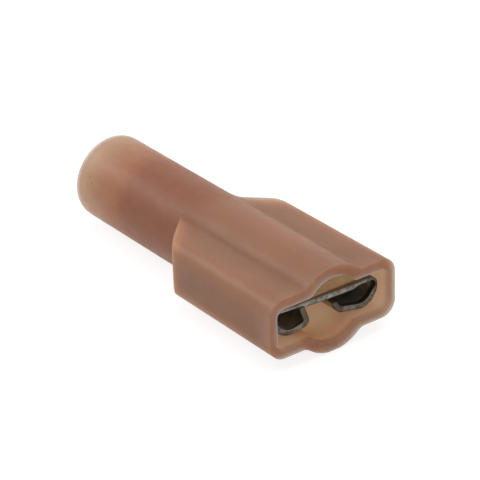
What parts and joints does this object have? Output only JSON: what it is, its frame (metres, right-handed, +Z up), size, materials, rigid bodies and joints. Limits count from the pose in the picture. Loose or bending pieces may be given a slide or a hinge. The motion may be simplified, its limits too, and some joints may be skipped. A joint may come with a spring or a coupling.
{
  "type": "female spade terminal",
  "caption": "Fully insulated female spade terminal: a nylon shroud over a rolled receptacle for a flat tab, with a round barrel crimped on a wire.",
  "frame": {"origin": "centre of the tab mouth, on the barrel's axis at the front face", "axes": "+X out of the tab mouth along the barrel's axis, +Y across the shroud, +Z up on the side of the receptacle's flat base"},
  "size_m": [0.0212, 0.0086, 0.0052],
  "materials": {
    "nylon": "translucent salmon moulded nylon, smooth",
    "tin_plate": "bright tin plating over brass sheet",
    "sleeve_metal": "dull tin plating over brass tube"
  },
  "bodies": {
    "root": {"housing": "nylon", "terminal": "tin_plate", "support_sleeve": "sleeve_metal"}
  },
  "joints": []
}
